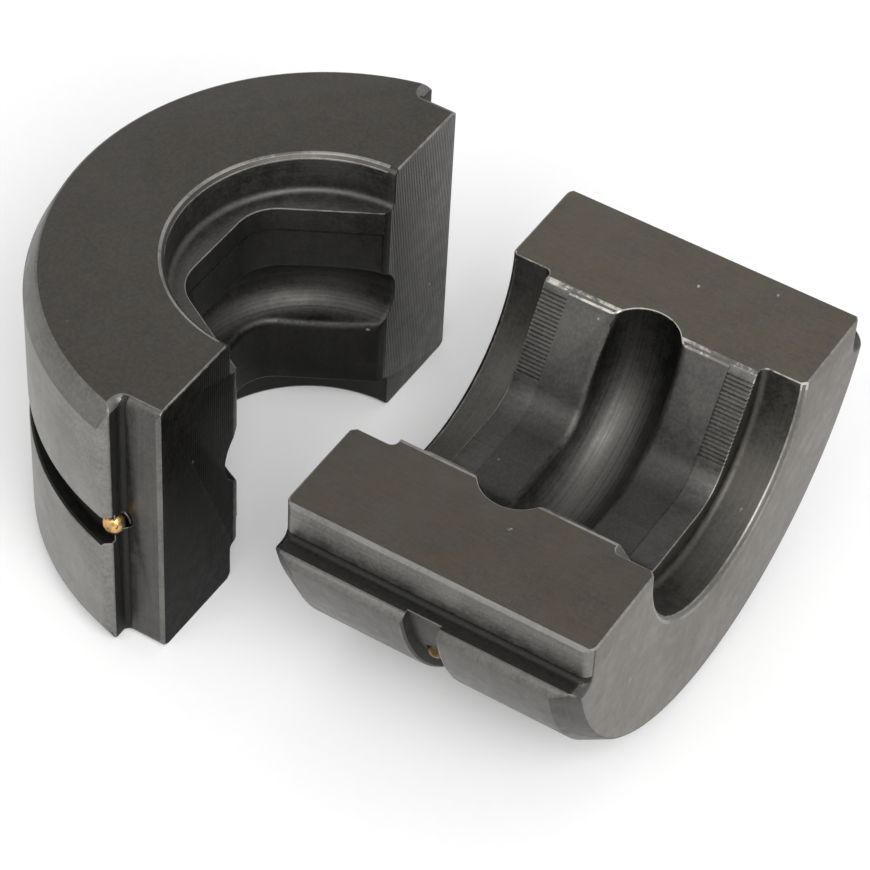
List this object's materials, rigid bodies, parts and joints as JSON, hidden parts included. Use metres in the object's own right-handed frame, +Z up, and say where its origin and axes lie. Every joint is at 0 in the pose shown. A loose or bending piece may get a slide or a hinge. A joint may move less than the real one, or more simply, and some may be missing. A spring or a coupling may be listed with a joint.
{
  "type": "hydraulic press crimping dies",
  "caption": "Loose half-round crimping dies with hexagonal lands, a round bead groove, counterbored ends, an outer retaining groove and sprung detent balls, for a hydraulic pipe press.",
  "frame": {"origin": "on the table, under the middle of the box round both dies", "axes": "+Z up, along the standing die's bore; -Y from the standing die's parting face towards the lying die, along the lying die's bore; +X across both dies"},
  "size_m": [0.0638, 0.0792, 0.0355],
  "materials": {
    "blackened_steel": "black oxide, oiled, satin, worn bright at edges",
    "ball_brass": "dull, polished at the tip",
    "spring_steel": "drawn wire"
  },
  "bodies": {
    "standing_die": {"standing_die": "blackened_steel", "standing_detent_spring": "spring_steel"},
    "standing_ball": {"standing_detent_ball": "ball_brass"},
    "lying_die": {"lying_die": "blackened_steel", "lying_detent_spring": "spring_steel"},
    "lying_ball": {"lying_detent_ball": "ball_brass"}
  },
  "joints": [
    {"name": "lying_die_lift", "type": "slide", "parent": "standing_die", "child": "lying_die", "axis": [0, 0, 1], "range_m": [0, 0.06]},
    {"name": "standing_ball_press", "type": "slide", "parent": "standing_die", "child": "standing_ball", "axis": [0.9703, -0.2419, 0], "range_m": [0, 0.0006], "stiffness_N_per_m": 4000, "springref_m": -0.0003, "deforming": ["standing_detent_spring"]},
    {"name": "lying_ball_press", "type": "slide", "parent": "lying_die", "child": "lying_ball", "axis": [0.8829, 0, 0.4695], "range_m": [0, 0.0006], "stiffness_N_per_m": 4000, "springref_m": -0.0003, "deforming": ["lying_detent_spring"]}
  ]
}
